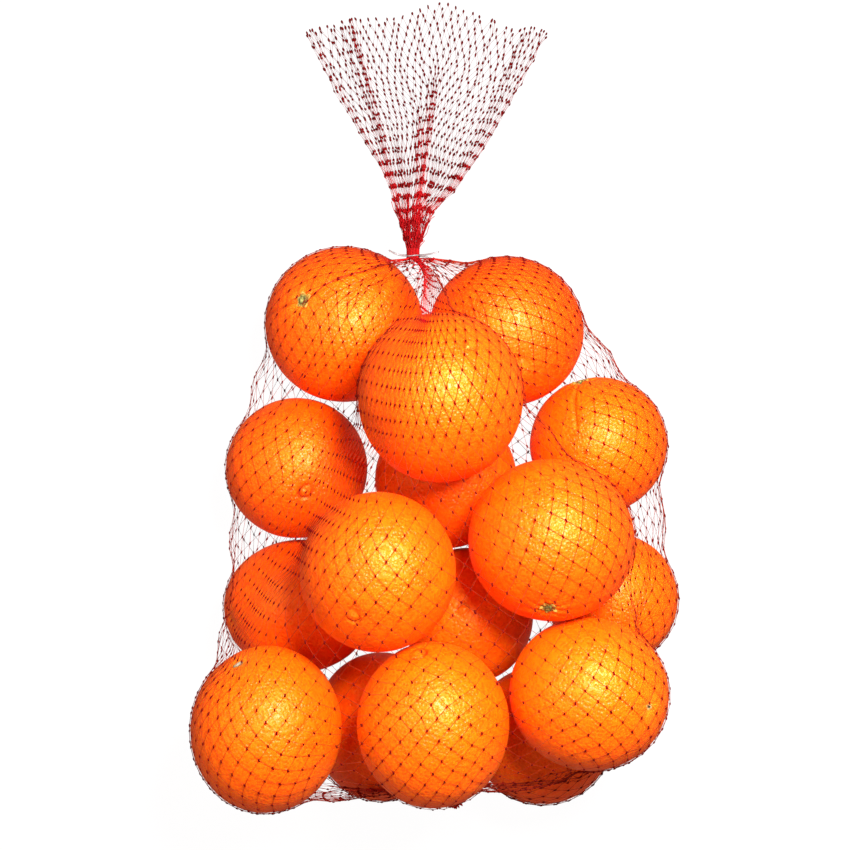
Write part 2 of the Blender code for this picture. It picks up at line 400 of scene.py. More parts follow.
def dried_material(name, stops, blotch, rough):
    """Dry stalk tissue: coloured from its middle outwards, then blotched."""
    m = Nodes(name)
    p = m.object_coords()
    s = m.math("ADD", m.attribute("out"), m.math("MULTIPLY_ADD", m.noise(p, 900.0, 3.0, 0.6), 0.24, -0.12), clamp=True)
    colour = m.ramp(s, stops)
    colour = m.mix(m.map_range(m.noise(p, 1500.0, 3.0, 0.6), 0.50, 0.70, 0.0, 0.65), colour, blotch)
    m.link(colour, m.shader.inputs["Base Color"])
    m.link(m.math("MULTIPLY_ADD", m.noise(p, 2200.0, 2.0, 0.5), 0.20, rough - 0.10), m.shader.inputs["Roughness"])
    m.link(m.bump(m.noise(p, 2600.0, 3.0, 0.6), 0.00012, 0.9), m.shader.inputs["Normal"])
    m.shader.inputs["Specular IOR Level"].default_value = 0.2
    return m.mat


# -------------------------------------------------------------------- fruit
GROOVE_TOWARDS = {0: (-0.99, 0.02, 0.10), 4: (-0.45, 0.52, 0.73)}      # side that a fruit's long groove runs to


def stem_frame(k):
    """Side, other side and stem direction of a fruit."""
    stem = np.array(FRUIT[k][0], float)
    stem /= np.linalg.norm(stem)
    towards = np.array(GROOVE_TOWARDS.get(k, (0.31 + 0.2 * k, 0.87, 0.39)), float)
    side = towards - stem * (towards @ stem)
    side /= np.linalg.norm(side)
    return side, np.cross(stem, side), stem


def make_orange(k, sphere, material):
    dirs, quads = sphere
    cx, cy, cz, rx, ry, rz = PILE[k]
    stem, kind, wrinkle, tint = FRUIT[k][:4]
    side, over, stem = stem_frame(k)
    radii = np.array([rx, ry, rz])
    size = radii.mean()
    local = dirs
    dirs = local @ np.array([side, over, stem])

    turn = np.arctan2(local[:, 1], local[:, 0])
    out_top = size * np.arccos(np.clip(local[:, 2], -1, 1))            # mm over the skin from the stem end
    out_low = size * np.arccos(np.clip(-local[:, 2], -1, 1))           # mm from the blossom end

    # slow unevenness, only ever inward of the measured outline
    lump = 0.5 + 0.5 * lattice_noise(dirs * 1.6 + 11.0 * k, 3)
    lump2 = 0.5 + 0.5 * lattice_noise(dirs * 3.4 + 7.0 * k, 5)
    fine = lattice_noise(dirs * size / 4.2 + 3.0 * k, 7)
    drop = 0.40 * lump + 0.25 * lump2 + 0.06 * (1 + fine)

    # stem end: a hollow with furrows running out of it and a few folds round it
    furrow_count = 7 + k % 4
    wander = lattice_noise(dirs * 5.0 + k, 13) * 0.9
    furrow = 0.5 + 0.5 * np.cos(furrow_count * turn + wander * 2.0 + k)
    reach = 11.0 + 4.0 * lattice_noise(np.stack([np.cos(turn), np.sin(turn), 0 * turn], 1) * 1.5 + k, 17)
    drop += 1.5 * np.exp(-(out_top / 4.6) ** 2)
    drop += wrinkle * 1.10 * furrow ** 2 * np.exp(-(out_top / reach) ** 2) * (1 - np.exp(-(out_top / 2.6) ** 2))
    fold = 0.5 + 0.5 * np.cos(1.45 * out_top + 1.2 * np.sin(turn + k) + wander)
    drop += wrinkle * 0.34 * fold * np.exp(-((out_top - 6.0) / 4.0) ** 2)
    # blossom end: a crescent groove round a small button
    navel = {3: 3.4, 12: 4.6}.get(k, 3.0 + 0.7 * ((k * 37) % 10) / 10.0)
    ring = out_low + 0.45 * np.cos(2 * turn + k)
    deep = 0.30 + 0.70 * (0.5 + 0.5 * np.cos(turn - 1.1 * k)) ** 1.5
    cleft = deep * np.exp(-((ring - navel) / {3: 0.78, 12: 0.85}.get(k, 0.62)) ** 2)
    drop += 1.35 * cleft + 0.55 * np.exp(-(out_low / 6.5) ** 2)
    drop -= 0.50 * np.exp(-((out_low - 0.4) / 1.5) ** 2)
    drop += 0.35 * np.exp(-((out_low - 1.2) / 0.30) ** 2) * (0.5 + 0.5 * np.cos(3 * turn + k))

    # painted shade: the navel groove is darkened in the colour, most on its deeper side, which draws the dark crescent
    groove_shade = (1.6 if k in (3, 12) else 0.9) * cleft
    if k == 0:      # a long groove from the left edge to the stem, darkened with painted shade, and a faint one down the middle
        groove_shade = groove_shade + 0.55 * crease(dirs, stem, (-0.99, 0.02, 0.10), 0.80, 1.00)
        drop += crease(dirs, stem, (-0.99, 0.02, 0.10), 0.95, 1.00)
        drop += crease(dirs, (0.10, 0.45, 0.87), (0.00, -0.25, 0.97), 1.6, 0.45)
    if k == 4:      # a groove down from the top edge, darkened with painted shade, and a shorter fold beside it
        groove_shade = groove_shade + 0.40 * crease(dirs, stem, (-0.40, 0.20, 0.89), 0.80, 1.25)
        drop += crease(dirs, stem, (-0.40, 0.20, 0.89), 0.95, 1.25)
        drop += crease(dirs, (-0.10, 0.95, 0.28), (0.20, 0.80, 0.56), 1.2, 0.60)
    if k == 8:
        drop += crease(dirs, (-0.60, -0.30, 0.74), (0.05, -0.38, 0.92), 1.4, 0.35)

    verts = dirs * radii * (1.0 - np.maximum(drop, 0.0)[:, None] / size)
    obj = build_mesh(f"orange_{k + 1:02d}", verts * MM, quads=quads)
    obj.location = Vector(world((cx, cy, cz)))
    add_float(obj, "fruit_id", np.full(len(dirs), 0.37 * (k + 1)))
    add_float(obj, "tint", np.full(len(dirs), tint))
    add_float(obj, "groove_shade", groove_shade)
    add_float(obj, "stem_near", {"spot": 0.25, "dot": 0.5}.get(kind, 1.0) * np.exp(-(out_top / 4.2) ** 2) + 0.30 * np.exp(-(out_top / 9.0) ** 2)
              + 0.35 * np.exp(-(out_low / 2.4) ** 2))
    obj.data.materials.append(material)
    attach(obj, "root")

    # where the stem end lies, and which way it faces
    j = int(np.argmax(local[:, 2]))
    middle = np.array([cx, cy, cz])
    at = middle + verts[j]
    face = stem / radii
    face /= np.linalg.norm(face)
    tree = BVHTree.FromPolygons(verts.tolist(), quads.tolist())

    def skin(point, at, face):
        """Height of the peel over the plane through at, below this point."""
        hit = tree.ray_cast(Vector(point - middle + face * 8.0), Vector(-face), 16.0)[0]
        return 0.0 if hit is None else float((np.array(hit) + middle - at) @ face)

    return obj, at, face, skin


def crease(dirs, start, end, width, depth):
    """A shallow valley along the arc from start to end, mm deep and mm wide on a 76 mm fruit."""
    a, b = np.array(start, float), np.array(end, float)
    a /= np.linalg.norm(a)
    b /= np.linalg.norm(b)
    best = np.full(len(dirs), 9.0)
    along = np.zeros(len(dirs))
    for t in np.linspace(0, 1, 60):
        c = a * (1 - t) + b * t
        c /= np.linalg.norm(c)
        c = c + 0.008 * math.sin(math.pi * t) * np.array([math.sin(9 * t), math.cos(7 * t), math.sin(5 * t + 1)])
        c /= np.linalg.norm(c)
        d = np.arccos(np.clip(dirs @ c, -1, 1)) * 38.0
        near = d < best
        best[near], along[near] = d[near], t
    return depth * np.exp(-(best / width) ** 2) * np.clip(np.sin(math.pi * np.clip(along * 0.85 + 0.15, 0, 1)), 0, 1) ** 0.5


def make_stem_mark(k, kind, at, face, materials, skin):
    """The dry calyx star, or the pale scar where the stalk came away.
    The star is laid on the peel, which skin finds."""
    side, over, _ = stem_frame(k)
    angle = math.radians(FRUIT[k][4])
    side = side - face * (side @ face)
    side /= np.linalg.norm(side)
    over = np.cross(face, side)
    side, over = side * math.cos(angle) + over * math.sin(angle), over * math.cos(angle) - side * math.sin(angle)
    around, rings = 72, 14
    rng = np.random.default_rng(40 + k)
    body, out = [], []
    lobes = 5
    lobe_len = 0.80 + 0.45 * rng.random(lobes)
    if k == 0:                                        # its lobes are broken off on one side
        lobe_len = np.array([0.15, 0.30, 1.15, 1.25, 0.80])
    big = {0: 1.15, 6: 1.20, 4: 1.45}.get(k, 1.0)
    wide = 1.28 if k == 0 else 1.0                    # a broader button
    for j in range(1, rings + 1):
        s = j / rings
        for i in range(around):
            a = 2 * math.pi * i / around
            if kind == "calyx":
                place = (a / (2 * math.pi) * lobes) % lobes
                near = int(round(place)) % lobes
                off = abs(place - round(place)) * 2
                point = (1 - off) ** 0.8
                edge = 2.15 * wide + 1.75 * point * lobe_len[near]
                edge += 0.10 * math.sin(11 * a + k)
                r = edge * s
                core = 1.05 * wide
                button = 0.60 * math.exp(-((r - core) / 0.33) ** 2) + 0.30 * math.exp(-(r / 0.55) ** 2)
                dip = 0.25 * math.exp(-((r - 1.75 * wide) / 0.30) ** 2)
                lift = 0.40 + button - dip + 0.10 * point * s
                lift += 0.30 * max(0.0, (r - 2.0) / 2.0) + 0.08 * math.sin(5 * a + 3 * s + k)
                if s > 0.92:
                    lift -= 0.40
                lift += skin(at + side * (r * math.cos(a) * big) + over * (r * math.sin(a) * big), at, face)
                stretch = 1.0
            else:
                size, stretch, tall = {"scar": (1.95, 1.60, 0.35), "dot": (1.95, 1.75, 0.12), "spot": (1.15, 1.30, 0.15)}[kind]
                edge = size * (1 + 0.09 * math.sin(3 * a + k) + 0.06 * math.sin(7 * a + 2 * k))
                r = edge * s
                lift = 0.16 + tall * (1 - s * s) ** 0.5 - 0.30 * s ** 5
                if kind == "scar":
                    lift += 0.22 * math.exp(-((s - 0.78) / 0.12) ** 2)
                if kind == "dot":
                    lift -= 0.30 * math.exp(-(s / 0.22) ** 2)
                lift += 0.03 * math.sin(9 * a + 2 * k)
            body.append(at + side * (r * math.cos(a) * stretch * big) + over * (r * math.sin(a) * big) + face * lift)
            out.append(r / (3.9 * wide) if kind == "calyx" else s)
    body.append(at + face * {"calyx": 0.62, "scar": 0.48, "dot": 0.02, "spot": 0.34}[kind])
    out.append(0.0)
    ring = np.arange(around)
    nxt = (ring + 1) % around
    quads = np.concatenate([np.stack([j * around + ring, (j + 1) * around + ring, (j + 1) * around + nxt, j * around + nxt], 1)
                            for j in range(rings - 1)])
    tris = np.stack([np.full(around, len(body) - 1), ring, nxt], 1)
    obj = build_mesh(f"{kind}_{k + 1:02d}", world(np.array(body)), quads=quads, tris=tris)
    add_float(obj, "out", out)
    obj.data.materials.append(materials[kind])
    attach(obj, "root")
    return obj


# ---------------------------------------------------------------- net solver
def hull_radius(centre, dirs):
    """Distance from the centre to the tight wrap of the pile along each direction."""
    k = np.arange(6000) + 0.5
    pz = 1.0 - 2.0 * k / 6000.0
    az = math.pi * (1.0 + 5.0 ** 0.5) * k
    rad = np.sqrt(1.0 - pz * pz)
    normals = np.stack([rad * np.cos(az), rad * np.sin(az), pz], axis=1)
    support = np.full(len(normals), -1e9)
    for f in PILE:
        support = np.maximum(support, normals @ (f[:3] - centre) + np.linalg.norm(normals * (f[3:] + CLEAR), axis=1))
    out = np.empty(len(dirs))
    for a in range(0, len(dirs), 512):
        d = dirs[a:a + 512] @ normals.T
        out[a:a + 512] = np.where(d > 0.05, support[None, :] / np.maximum(d, 0.05), 1e9).min(axis=1)
    return out


def push_off(p, clear, floor):
    for f in PILE:
        c, r = f[:3], f[3:] + clear
        q = (p - c) / r
        s2 = (q * q).sum(-1)
        m = s2 < 1.0
        if m.any():
            s = np.sqrt(s2[m])[:, None]
            p[m] = c + (p[m] - c) / np.maximum(s, 1e-6)
    p[..., 2] = np.maximum(p[..., 2], floor)
    return p


def upper_pair(k):
    """Column shifts from row k to its two neighbours in row k + 1."""
    return (0, -1) if k % 2 == 0 else (0, 1)


def diamond_mean(g):
    total = np.zeros_like(g)
    up = g[1:]
    up2 = np.empty_like(up)
    up2[0::2] = np.roll(up[0::2], 1, axis=1)
    up2[1::2] = np.roll(up[1::2], -1, axis=1)
    total[:-1] += up + up2
    down = g[:-1]
    down2 = np.empty_like(down)
    down2[0::2] = np.roll(down[0::2], -1, axis=1)
    down2[1::2] = np.roll(down[1::2], 1, axis=1)
    total[1:] += down + down2
    return total / 4.0


def settle_net(n, rows, warp, warp_dir, passes, tension=0.003, floor=0.40):
    """Knots of the bag: a tube of diamond mesh with fixed strand length, drawn
    over the pile between the two tied necks and worked until it lies still.
    It is kept taut over the front and may lie slacker underneath; the front is
    gathered towards the third orange and its rows are kept level near the top left."""
    rng = np.random.default_rng(3)
    centre = np.array([PILE[:, 0].mean(), PILE[:, 1].mean() - 4.0, 62.0])
    half = (np.arange(rows + 1) % 2) * 0.5
    theta = 2 * math.pi * (np.arange(n)[None, :] + half[:, None]) / n
    lean = np.interp(np.arange(rows + 1) / rows, [0, 0.25, 0.5, 0.75, 1.0], warp)[:, None]
    theta = theta + lean * np.cos(theta - math.radians(warp_dir))
    g = np.empty((rows + 1, n, 3))
    for j in range(rows + 1):
        phi = math.pi * (0.03 + 0.94 * j / rows)
        g[j, :, 0] = math.sin(phi) * np.cos(theta[j])
        g[j, :, 1] = -math.cos(phi)
        g[j, :, 2] = math.sin(phi) * np.sin(theta[j])
    g = centre + g * hull_radius(centre, g.reshape(-1, 3)).reshape(rows + 1, n, 1)

    def gathered(at, r, j, along):
        rr = r * (0.72 + 0.28 * rng.random(n))
        t = theta[j] + rng.normal(0, 0.10, n)
        return at + np.stack([rr * np.cos(t), np.full(n, along), rr * np.sin(t)], 1)

    g[0] = gathered(BASE, BASE_R, 0, NECK_HALF)
    g[rows] = gathered(NECK, NECK_R, rows, -NECK_HALF)
    for _ in range(20):
        m = diamond_mean(g)
        g[1:-1] += 0.8 * (m[1:-1] - g[1:-1])
        g[1:-1] = push_off(g[1:-1], CLEAR, floor)
    even, odd = np.arange(0, rows, 2), np.arange(1, rows, 2)

    def strands(g, ks, shift):
        a, b = g[ks], np.roll(g[ks + 1], shift, axis=1)
        d = b - a
        length = np.sqrt((d * d).sum(-1, keepdims=True))
        front = np.clip(((a[..., 2:3] + b[..., 2:3]) / 2 - 40.0) / 40.0 + 0.5, 0, 1)
        least = STRAND * (0.75 + 0.23 * front * front * (3 - 2 * front))
        give = np.where(length > STRAND, length - STRAND, np.where(length < least, 0.3 * (length - least), 0.0))
        wa = np.where(ks == 0, 0.0, 1.0)[:, None, None]
        wb = np.where(ks + 1 == rows, 0.0, 1.0)[:, None, None]
        u = d / np.maximum(length, 1e-9) * give / np.maximum(wa + wb, 1e-9)
        g[ks] = a + u * wa
        g[ks + 1] = np.roll(b - u * wb, -shift, axis=1)

    before = g.copy()
    for _ in range(passes):
        v = (g - before) * 0.9
        v *= np.minimum(1.0, 1.5 / np.maximum(np.sqrt((v * v).sum(-1, keepdims=True)), 1e-9))
        before = g.copy()
        g = g + v
        g[0], g[rows] = before[0], before[rows]
        m = diamond_mean(g)
        g[1:-1] += tension * (m[1:-1] - g[1:-1])
        body = g[1:-1]
        pull = 0.0013 * np.exp(-((body - np.array([7.4, 18.0, 125.0])) ** 2).sum(-1) / 48.0 ** 2)
        body[..., 0] += pull * (7.4 - body[..., 0])
        near = np.clip((body[..., 2] - 35.0) / 20.0, 0, 1) * np.exp(-((body[..., 1] - 50.0) / 30.0) ** 2) \
            * np.clip((10.0 - body[..., 0]) / 30.0, 0, 1)
        level = (near * body[..., 1]).sum(1) / np.maximum(near.sum(1), 1e-6)
        body[..., 1] += 0.01 * near * (level[:, None] - body[..., 1])
        strands(g, even, 0)
        strands(g, odd, 0)
        strands(g, even, 1)
        strands(g, odd, -1)
        g[1:-1] = push_off(g[1:-1], CLEAR, floor)

    # where it lies close to a fruit it settles onto the peel
    body = g[1:-1]
    best = np.full(body.shape[:2], 1e9)
    onto = np.zeros_like(body)
    for f in PILE:
        c, r = f[:3], f[3:] + CLEAR
        s = np.linalg.norm((body - c) / r, axis=-1)
        away = (s - 1.0) * r.mean()
        closer = away < best
        best[closer] = away[closer]
        onto[closer] = ((c - body) * (1.0 - 1.0 / np.maximum(s, 1e-6))[..., None])[closer]
    g[1:-1] = push_off(body + onto * (0.92 * np.clip(1.22 - best / 9.0, 0, 1))[..., None], CLEAR, floor)
    return g


# --------------------------------------------------------------- net to mesh
def knot_frames(g, inward=None):
    """Per knot: direction along the net, across it, and out of it."""
    rows = len(g) - 1
    along = np.empty_like(g)
    for k in range(rows + 1):
        hi, lo = min(k + 1, rows), max(k - 1, 0)
        along[k] = g[hi] - g[lo]
        if k < rows:
            sh = upper_pair(k)
            up = (np.roll(g[k + 1], -sh[0], axis=0) + np.roll(g[k + 1], -sh[1], axis=0)) / 2
        else:
            up = g[k]
        if k > 0:
            sh = (0, 1) if k % 2 == 1 else (0, -1)
            down = (np.roll(g[k - 1], -sh[0], axis=0) + np.roll(g[k - 1], -sh[1], axis=0)) / 2
        else:
            down = g[k]
        along[k] = up - down
    across = np.roll(g, -1, axis=1) - np.roll(g, 1, axis=1)
    along /= np.maximum(np.linalg.norm(along, axis=-1, keepdims=True), 1e-6)
    across -= (across * along).sum(-1, keepdims=True) * along
    length = np.linalg.norm(across, axis=-1, keepdims=True)
    fallback = np.cross(along, np.array([0.0, 0.0, 1.0]))
    across = np.where(length > 1e-4, across / np.maximum(length, 1e-6), fallback)
    across /= np.maximum(np.linalg.norm(across, axis=-1, keepdims=True), 1e-6)
    out = np.cross(across, along)
    middle = g.mean(axis=1, keepdims=True)
    sign = np.sign(((g - middle) * out).sum(-1, keepdims=True))
    out = out * np.where(sign == 0, 1.0, sign)
    return along, across, out


def packed(points, others, radius=3.0):
    """How closely the net is bunched round each point, 0 to 1."""
    tree = kdtree.KDTree(len(others))
    for i, p in enumerate(others):
        tree.insert(p, i)
    tree.balance()
    count = np.array([len(tree.find_range(p, radius)) for p in points], float)
    s = np.clip((count - 3.0) / 7.0, 0, 1)
    return s * s * (3 - 2 * s)


def strand_mesh(name, a, b, out, r_end, r_mid, material, press=True, jitter=0.0, seed=1, tight=None):
    """Four-sided tubes from points a to points b, thinnest in the middle."""
    rng = np.random.default_rng(seed)
    d = b - a
    length = np.linalg.norm(d, axis=1, keepdims=True)
    t = d / np.maximum(length, 1e-6)
    n = out - (out * t).sum(1, keepdims=True) * t
    n /= np.maximum(np.linalg.norm(n, axis=1, keepdims=True), 1e-6)
    s = np.cross(t, n)
    mid = (a + b) / 2
    if jitter > 0:
        mid = mid + n * rng.normal(0, jitter, (len(a), 1)) + s * rng.normal(0, jitter, (len(a), 1))
    if press:
        mid = push_off(mid, 0.17, 0.22)
    rings = []
    for centre, r in ((a, r_end), (mid, r_mid), (b, r_end)):
        r = np.asarray(r).reshape(-1, 1) if np.ndim(r) else r
        for c, e in ((1, 0), (0, 1), (-1, 0), (0, -1)):
            rings.append(centre + (n * c + s * e) * r)
    verts = np.stack(rings, axis=1).reshape(-1, 3)
    base = (12 * np.arange(len(a)))[:, None]
    faces = []
    for ring in (0, 4):
        for i in range(4):
            j = (i + 1) % 4
            faces.append(np.concatenate([base + ring + i, base + ring + j, base + ring + 4 + j, base + ring + 4 + i], axis=1))
    quads = np.concatenate(faces)
    obj = build_mesh(name, world(verts), quads=quads)
    if tight is None:
        tight = (np.ones(len(a)), np.ones(len(a)))
    add_float(obj, "packed", np.repeat(np.stack([tight[0], (tight[0] + tight[1]) / 2, tight[1]], 1).ravel(), 4))
    obj.data.materials.append(material)
    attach(obj, "root")
    return obj


def knot_mesh(name, p, along, across, out, long_r, wide_r, thick_r, material, seed=4, tight=None):
    """Small spindle-shaped knots, a little uneven."""
    rng = np.random.default_rng(seed)
    m = len(p)
    long_v = long_r * (0.82 + 0.36 * rng.random((m, 1)))
    wide_v = wide_r * (0.85 + 0.30 * rng.random((m, 1)))
    thick_v = thick_r * (0.85 + 0.30 * rng.random((m, 1)))
    lean = rng.normal(0, 0.10, (m, 1))
    along = along + across * lean
    along /= np.linalg.norm(along, axis=1, keepdims=True)
    sides = 5
    rings = [p - along * long_v]
    for level, swell in ((-0.52, 0.80), (0.0, 1.0), (0.52, 0.80)):
        for i in range(sides):
            a = 2 * math.pi * i / sides
            rings.append(p + along * long_v * level + across * (wide_v * swell * math.cos(a)) + out * (thick_v * swell * math.sin(a)))
    rings.append(p + along * long_v)
    verts = np.stack(rings, axis=1).reshape(-1, 3)
    per = 2 + 3 * sides
    base = (per * np.arange(m))[:, None]
    quads, tris = [], []
    for ring in (0, 1):
        for i in range(sides):
            j = (i + 1) % sides
            q = [1 + ring * sides + i, 1 + ring * sides + j, 1 + (ring + 1) * sides + j, 1 + (ring + 1) * sides + i]
            quads.append(np.concatenate([base + v for v in q], axis=1))
    for i in range(sides):
        j = (i + 1) % sides
        tris.append(np.concatenate([base, base + 1 + j, base + 1 + i], axis=1))
        tris.append(np.concatenate([base + per - 1, base + 1 + 2 * sides + i, base + 1 + 2 * sides + j], axis=1))
    obj = build_mesh(name, world(verts), quads=np.concatenate(quads), tris=np.concatenate(tris))
    add_float(obj, "packed", np.repeat(np.ones(m) if tight is None else tight, per))
    obj.data.materials.append(material)
    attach(obj, "root")
    return obj


def strand_ends(g, out, tight):
    """Start, end, outward direction and bunching of every strand of a knot grid."""
    a, b, o, ta, tb = [], [], [], [], []
    for k in range(len(g) - 1):
        for shift in upper_pair(k):
            a.append(g[k])
            b.append(np.roll(g[k + 1], -shift, axis=0))
            o.append(out[k] + np.roll(out[k + 1], -shift, axis=0))
            ta.append(tight[k])
            tb.append(np.roll(tight[k + 1], -shift, axis=0))
    return np.concatenate(a), np.concatenate(b), np.concatenate(o), (np.concatenate(ta), np.concatenate(tb))


# --------------------------------------------------------------------- tail
TAIL_ROWS = 19
# share of the way down the tail, then the angles of its left and right edges, degrees
TAIL_EDGES = [(0.00, -20.0, 24.0), (0.14, -20.6, 23.6), (0.25, -18.4, 33.0), (0.48, -22.8, 32.6), (0.70, -24.6, 31.2), (1.00, -25.2, 29.9)]
# angle, and how far the cut edge lies from the neck there, mm
TAIL_REACH = [(-25.0, 139.0), (-14.0, 135.0), (-3.0, 133.3), (5.8, 141.5), (16.0, 138.5), (23.7, 137.5), (27.0, 143.0), (29.7, 145.0)]


def bunched(q, folds):
    """Places across a layer (-1 left to 1 right) for columns at even shares q of it,
    crowded together at each fold (place, width, strength)."""
    x = np.linspace(-1.0, 1.0, 801)
    crowd = np.ones_like(x)
    for place, width, strength in folds:
        crowd += strength * np.exp(-((x - place) / width) ** 2)
    share = np.concatenate([[0.0], np.cumsum((crowd[1:] + crowd[:-1]) / 2)])
    return np.interp(q, share / share[-1], x)


def tail_grid(n, start_row):
    """Knots of the tail: two loose layers fanned out from the upper neck, bunched
    into a few pleats, sloping down to rest on the table."""
    rng = np.random.default_rng(11)
    g = np.empty((TAIL_ROWS + 1, n, 3))
    sway = rng.normal(0, 0.006, n)
    shares = [e[0] for e in TAIL_EDGES]
    for r in range(TAIL_ROWS + 1):
        s = r / TAIL_ROWS
        left = np.interp(s, shares, [e[1] for e in TAIL_EDGES])
        right = np.interp(s, shares, [e[2] for e in TAIL_EDGES])
        place = lambda angle: 2 * (angle - left) / (right - left) - 1
        folds = [(-1.0, 0.07, 2.2), (1.0, 0.07, 2.6), (0.86, 0.06, 1.2),
                 (place(-18.5 + 4.2 * min(1.0, s / 0.47)), 0.040, 4.0 * min(1.0, s * 3)),
                 (place(7.3), 0.030, 7.0 * np.clip((0.80 - s) * 4, 0, 1)),
                 (place(3.0), 0.030, 6.0 * np.exp(-((s - 0.43) / 0.13) ** 2)),
                 (place(-7.5), 0.05, 1.6 * np.exp(-((s - 0.35) / 0.15) ** 2))]
        if s < 0.36:
            near = (1 - s / 0.36) ** 1.5
            folds += [(c, 0.075, 11.0 * near) for c in (-0.80, -0.38, 0.02, 0.34)] + [(0.78, 0.06, 5.0 * near)]
        u = ((np.arange(n) + 0.5 * ((start_row + r) % 2)) / n) % 1.0
        top = u < 0.5
        q = np.where(top, 1 - 2 * u, 2 * (u - 0.5))                    # share of the way from left to right
        under = [(c + 0.07 * math.sin(5 * c + 2.0), w * 1.3, a * 0.8) for c, w, a in folds[:3]] + [(c - 0.05, w * 1.2, a * 0.8) for c, w, a in folds[3:]]
        c = np.where(top, bunched(q, folds), bunched(q, under))
        angle = left + (right - left) * (c + 1) / 2 + rng.normal(0, 0.16, n) * min(1.0, s * 4) + np.degrees(sway) * s
        far = np.interp(angle, [e[0] for e in TAIL_REACH], [e[1] for e in TAIL_REACH])
        reach = NECK_HALF + (far - NECK_HALF) * s + np.where(top, 0.0, -1.8 * s) + rng.normal(0, 0.28, n)
        if r == 0:
            reach = np.full(n, NECK_HALF)
        rope = 3.7 * np.exp(-reach / 12.0)
        x = np.sin(np.radians(angle)) * reach + c * rope
        y = np.cos(np.radians(angle)) * reach
        lift = np.zeros(n)
        for place_c, width, high in ((folds[3][0], 0.10, 3.6), (folds[4][0], 0.09, 4.2), (0.86, 0.10, 3.2), (-0.62, 0.12, 1.6), (-0.10, 0.14, 1.6), (0.52, 0.12, 2.0)):
            lift += high * np.exp(-((c - place_c) / width) ** 2) * np.where(top, 1.0, 0.4)
        down = s * s * (3 - 2 * s)
        middle = 7.0 + (NECK[2] - 7.0) * (1 - down)
        thick = 3.0 - 0.4 * s
        z = middle + np.where(top, 1.0, -1.0) * np.sqrt(np.clip(1 - 0.97 * c * c, 0, 1)) * thick * (0.8 + 0.35 * rng.random(n)) + lift * s
        if s < 0.40:
            loose = (1 - s / 0.40)
            z = z + rng.normal(0, 1.3, n) * loose
            x = x + rng.normal(0, 0.40, n) * loose
            y = y + rng.normal(0, 1.5, n) * loose ** 2 * min(1.0, r)
        g[r, :, 0] = NECK[0] + x
        g[r, :, 1] = NECK[1] + y
        g[r, :, 2] = np.maximum(z, 0.7)
    return g


def frill_grid(n, ring):
    """Three rows of knots past the lower neck, spreading a little before they end."""
    rng = np.random.default_rng(21)
    rel = ring - BASE
    turn = np.arctan2(rel[:, 2], rel[:, 0])
    g = np.empty((3, n, 3))
    for r, (along, wide) in enumerate(((-NECK_HALF, 2.7), (-5.4, 3.7), (-8.2, 5.0))):
        rr = wide * (0.45 + 0.55 * rng.random(n))
        g[r, :, 0] = BASE[0] + rr * np.cos(turn)
        g[r, :, 1] = BASE[1] + along + (rng.normal(0, 0.4, n) if r else 0.0)
        g[r, :, 2] = BASE[2] + rr * np.sin(turn)
    return g


# --------------------------------------------------------------------- ties
def band(name, path, wide, thick, facing, material, stands_for, closed=False):
    """A flat strip of plastic along a path of points."""
    path = np.asarray(path, float)
    n = len(path)
    ahead = np.roll(path, -1, axis=0) - np.roll(path, 1, axis=0) if closed else np.gradient(path, axis=0)
    ahead /= np.linalg.norm(ahead, axis=1, keepdims=True)
    up = np.asarray(facing, float) + np.zeros_like(path)
    up -= (up * ahead).sum(1, keepdims=True) * ahead
    up /= np.linalg.norm(up, axis=1, keepdims=True)
    across = np.cross(ahead, up)
    wide = np.broadcast_to(np.asarray(wide, float), (n,))[:, None]
    loop = []
    for a, b in ((-1.0, 0.35), (-0.8, 1.0), (0.8, 1.0), (1.0, 0.35), (1.0, -0.35), (0.8, -1.0), (-0.8, -1.0), (-1.0, -0.35)):
        loop.append(path + across * (a * wide / 2) + up * (b * thick / 2))
    m = len(loop)
    verts = np.stack(loop, axis=1).reshape(-1, 3)
    quads = []
    for i in range(n if closed else n - 1):
        j = (i + 1) % n
        for a in range(m):
            b = (a + 1) % m
            quads.append((i * m + a, i * m + b, j * m + b, j * m + a))
    tris = []
    if not closed:
        for i, order in ((0, 1), (n - 1, -1)):
            for a in range(1, m - 1):
                t = (i * m, i * m + a, i * m + a + 1)
                tris.append(t if order < 0 else t[::-1])
    obj = build_mesh(name, world(verts), quads=np.array(quads), tris=np.array(tris) if tris else None)
    obj.data.materials.append(material)
    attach(obj, "root")
    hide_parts(stands_for)
    return obj


def ring_path(at, r, along, squash, count=40):
    a = 2 * math.pi * np.arange(count) / count
    return np.stack([at[0] + r * np.cos(a), at[1] + along + 0.25 * np.sin(2 * a + 0.6), at[2] + r * squash * np.sin(a)], 1), \
        np.stack([np.cos(a), 0 * a, np.sin(a)], 1)


def curve_path(points, count=14):
    """Smooth path through a few points."""
    points = np.asarray(points, float)
    t = np.linspace(0, len(points) - 1, count)
    out = []
    for v in t:
        i = min(int(v), len(points) - 2)
        p0, p1 = points[max(i - 1, 0)], points[i]
        p2, p3 = points[i + 1], points[min(i + 2, len(points) - 1)]
        f = v - i
        out.append(0.5 * (2 * p1 + (p2 - p0) * f + (2 * p0 - 5 * p1 + 4 * p2 - p3) * f * f + (3 * p1 - p0 - 3 * p2 + p3) * f ** 3))
    return np.array(out)


